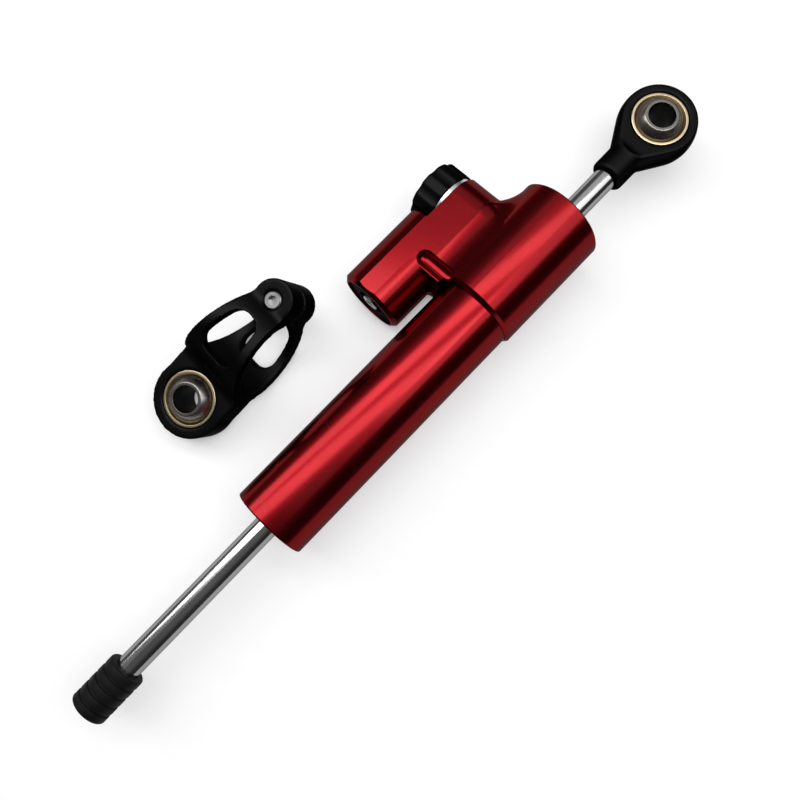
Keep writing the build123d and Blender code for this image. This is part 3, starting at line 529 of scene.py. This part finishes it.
def rubber(name, low, high):
    made = finish(name)
    skin = made.speckle(0.0006, 3.0)
    dust = made.speckle(0.003, 4.0)
    return made.surface(Base_Color=made.mix(dust, grey(low), grey(high)), Specular_IOR_Level=0.16,
                        Roughness=made.range(dust, 0.5, 0.68, 0.3, 0.7), Normal=made.bump(skin, 0.00001))


stop_rubber = rubber("stop_rubber", 0.0015, 0.004)
seal_rubber = rubber("seal_rubber", 0.012, 0.02)
stop_low, stop_high, stop_radius, rib_count = -234.3, -219.3, 5.6, 5
rib_height, rib_width, rib_round, rib_root = 0.4, 2.2, 0.25, 0.3
rib_pitch = (stop_high - stop_low) / rib_count
stop_bore, stop_floor, end_radius, end_run = 3.62, stop_low + 1.5, stop_radius - 0.03, 1.0


def ring_ribs():
    """A tree that puts rounded ribs in a row along X on the piece, and its inputs' identifiers by name."""
    tree = bpy.data.node_groups.new("ring_ribs", "GeometryNodeTree")
    tree.interface.new_socket("Geometry", in_out="OUTPUT", socket_type="NodeSocketGeometry")
    tree.interface.new_socket("Geometry", in_out="INPUT", socket_type="NodeSocketGeometry")
    asked = {"Count": "Int", "First": "Float", "Pitch": "Float", "Middle": "Float", "Thickness": "Float",
             "Width": "Float", "Round": "Float", "Material": "Material"}
    named = {name: tree.interface.new_socket(name, in_out="INPUT", socket_type="NodeSocket" + kind).identifier
             for name, kind in asked.items()}

    def node(kind, settings=None, **sockets):
        made = tree.nodes.new(kind)
        for name, value in (settings or {}).items():
            setattr(made, name, value)
        for name, value in sockets.items():
            socket = made.inputs[name.replace("_", " ")]
            if isinstance(value, bpy.types.NodeSocket):
                tree.links.new(value, socket)
            else:
                socket.default_value = value
        return made

    given = node("NodeGroupInput").outputs
    first = node("ShaderNodeCombineXYZ", X=given["First"]).outputs[0]
    step = node("ShaderNodeCombineXYZ", X=given["Pitch"]).outputs[0]
    row = node("GeometryNodeMeshLine", {"mode": "OFFSET"}, Count=given["Count"], Start_Location=first,
               Offset=step)
    ring = node("GeometryNodeCurvePrimitiveCircle", None, Resolution=160, Radius=given["Middle"])
    block = node("GeometryNodeCurvePrimitiveQuadrilateral", None, Width=given["Thickness"], Height=given["Width"])
    section = node("GeometryNodeFilletCurve", {"mode": "POLY"}, Curve=block.outputs[0], Count=4,
                   Radius=given["Round"])
    rib = node("GeometryNodeCurveToMesh", None, Curve=ring.outputs[0], Profile_Curve=section.outputs[0])
    ribs = node("GeometryNodeInstanceOnPoints", None, Points=row.outputs[0], Instance=rib.outputs[0],
                Rotation=(0, math.radians(90), 0))
    joined = node("GeometryNodeJoinGeometry")
    tree.links.new(given["Geometry"], joined.inputs[0])
    tree.links.new(ribs.outputs[0], joined.inputs[0])
    solid = node("GeometryNodeRealizeInstances", None, Geometry=joined.outputs[0])
    dressed = node("GeometryNodeSetMaterial", None, Geometry=solid.outputs[0], Material=given["Material"])
    node("NodeGroupOutput", None, Geometry=dressed.outputs[0])
    return tree, named


stop = turned("ribbed_stop", rounded([
    (0, stop_low, 0), (end_radius, stop_low, 0.8), (end_radius, stop_low + end_run, 0.2),
    (stop_radius - rib_height, stop_low + end_run + rib_height, 0.1),
    (stop_radius - rib_height, stop_high - end_run - rib_height, 0.1), (end_radius, stop_high - end_run, 0.2),
    (end_radius, stop_high, 0.5), (stop_bore, stop_high, 0.2), (stop_bore, stop_floor, 0), (0, stop_floor, 0)]),
    origin, along, 160)
ribs_tree, rib_inputs = ring_ribs()
ribs = stop.modifiers.new("ribs", "NODES")
ribs.node_group = ribs_tree
rib_thickness = rib_height + rib_root
for name, value in {
        "Count": rib_count, "First": (stop_low + rib_pitch / 2) * mm, "Pitch": rib_pitch * mm,
        "Middle": (stop_radius - rib_thickness / 2) * mm, "Thickness": rib_thickness * mm,
        "Width": rib_width * mm, "Round": rib_round * mm, "Material": stop_rubber}.items():
    ribs[rib_inputs[name]] = value
# The ribs become part of the stop's own mesh
ribbed = bpy.data.meshes.new_from_object(stop.evaluated_get(bpy.context.evaluated_depsgraph_get()))
stop.modifiers.remove(ribs)
stop.data = ribbed
for face in ribbed.polygons:
    face.use_smooth = True
fit(stop, "rod", stop_rubber, "stop_rubber", "bump_stop")
for name in ("lower_guide_oring", "lower_wiper", "lower_seal", "piston_ring", "head_seal", "head_wiper",
             "needle_oring", "cap_oring", "floating_piston_ring"):
    wear(nodes[name], seal_rubber)
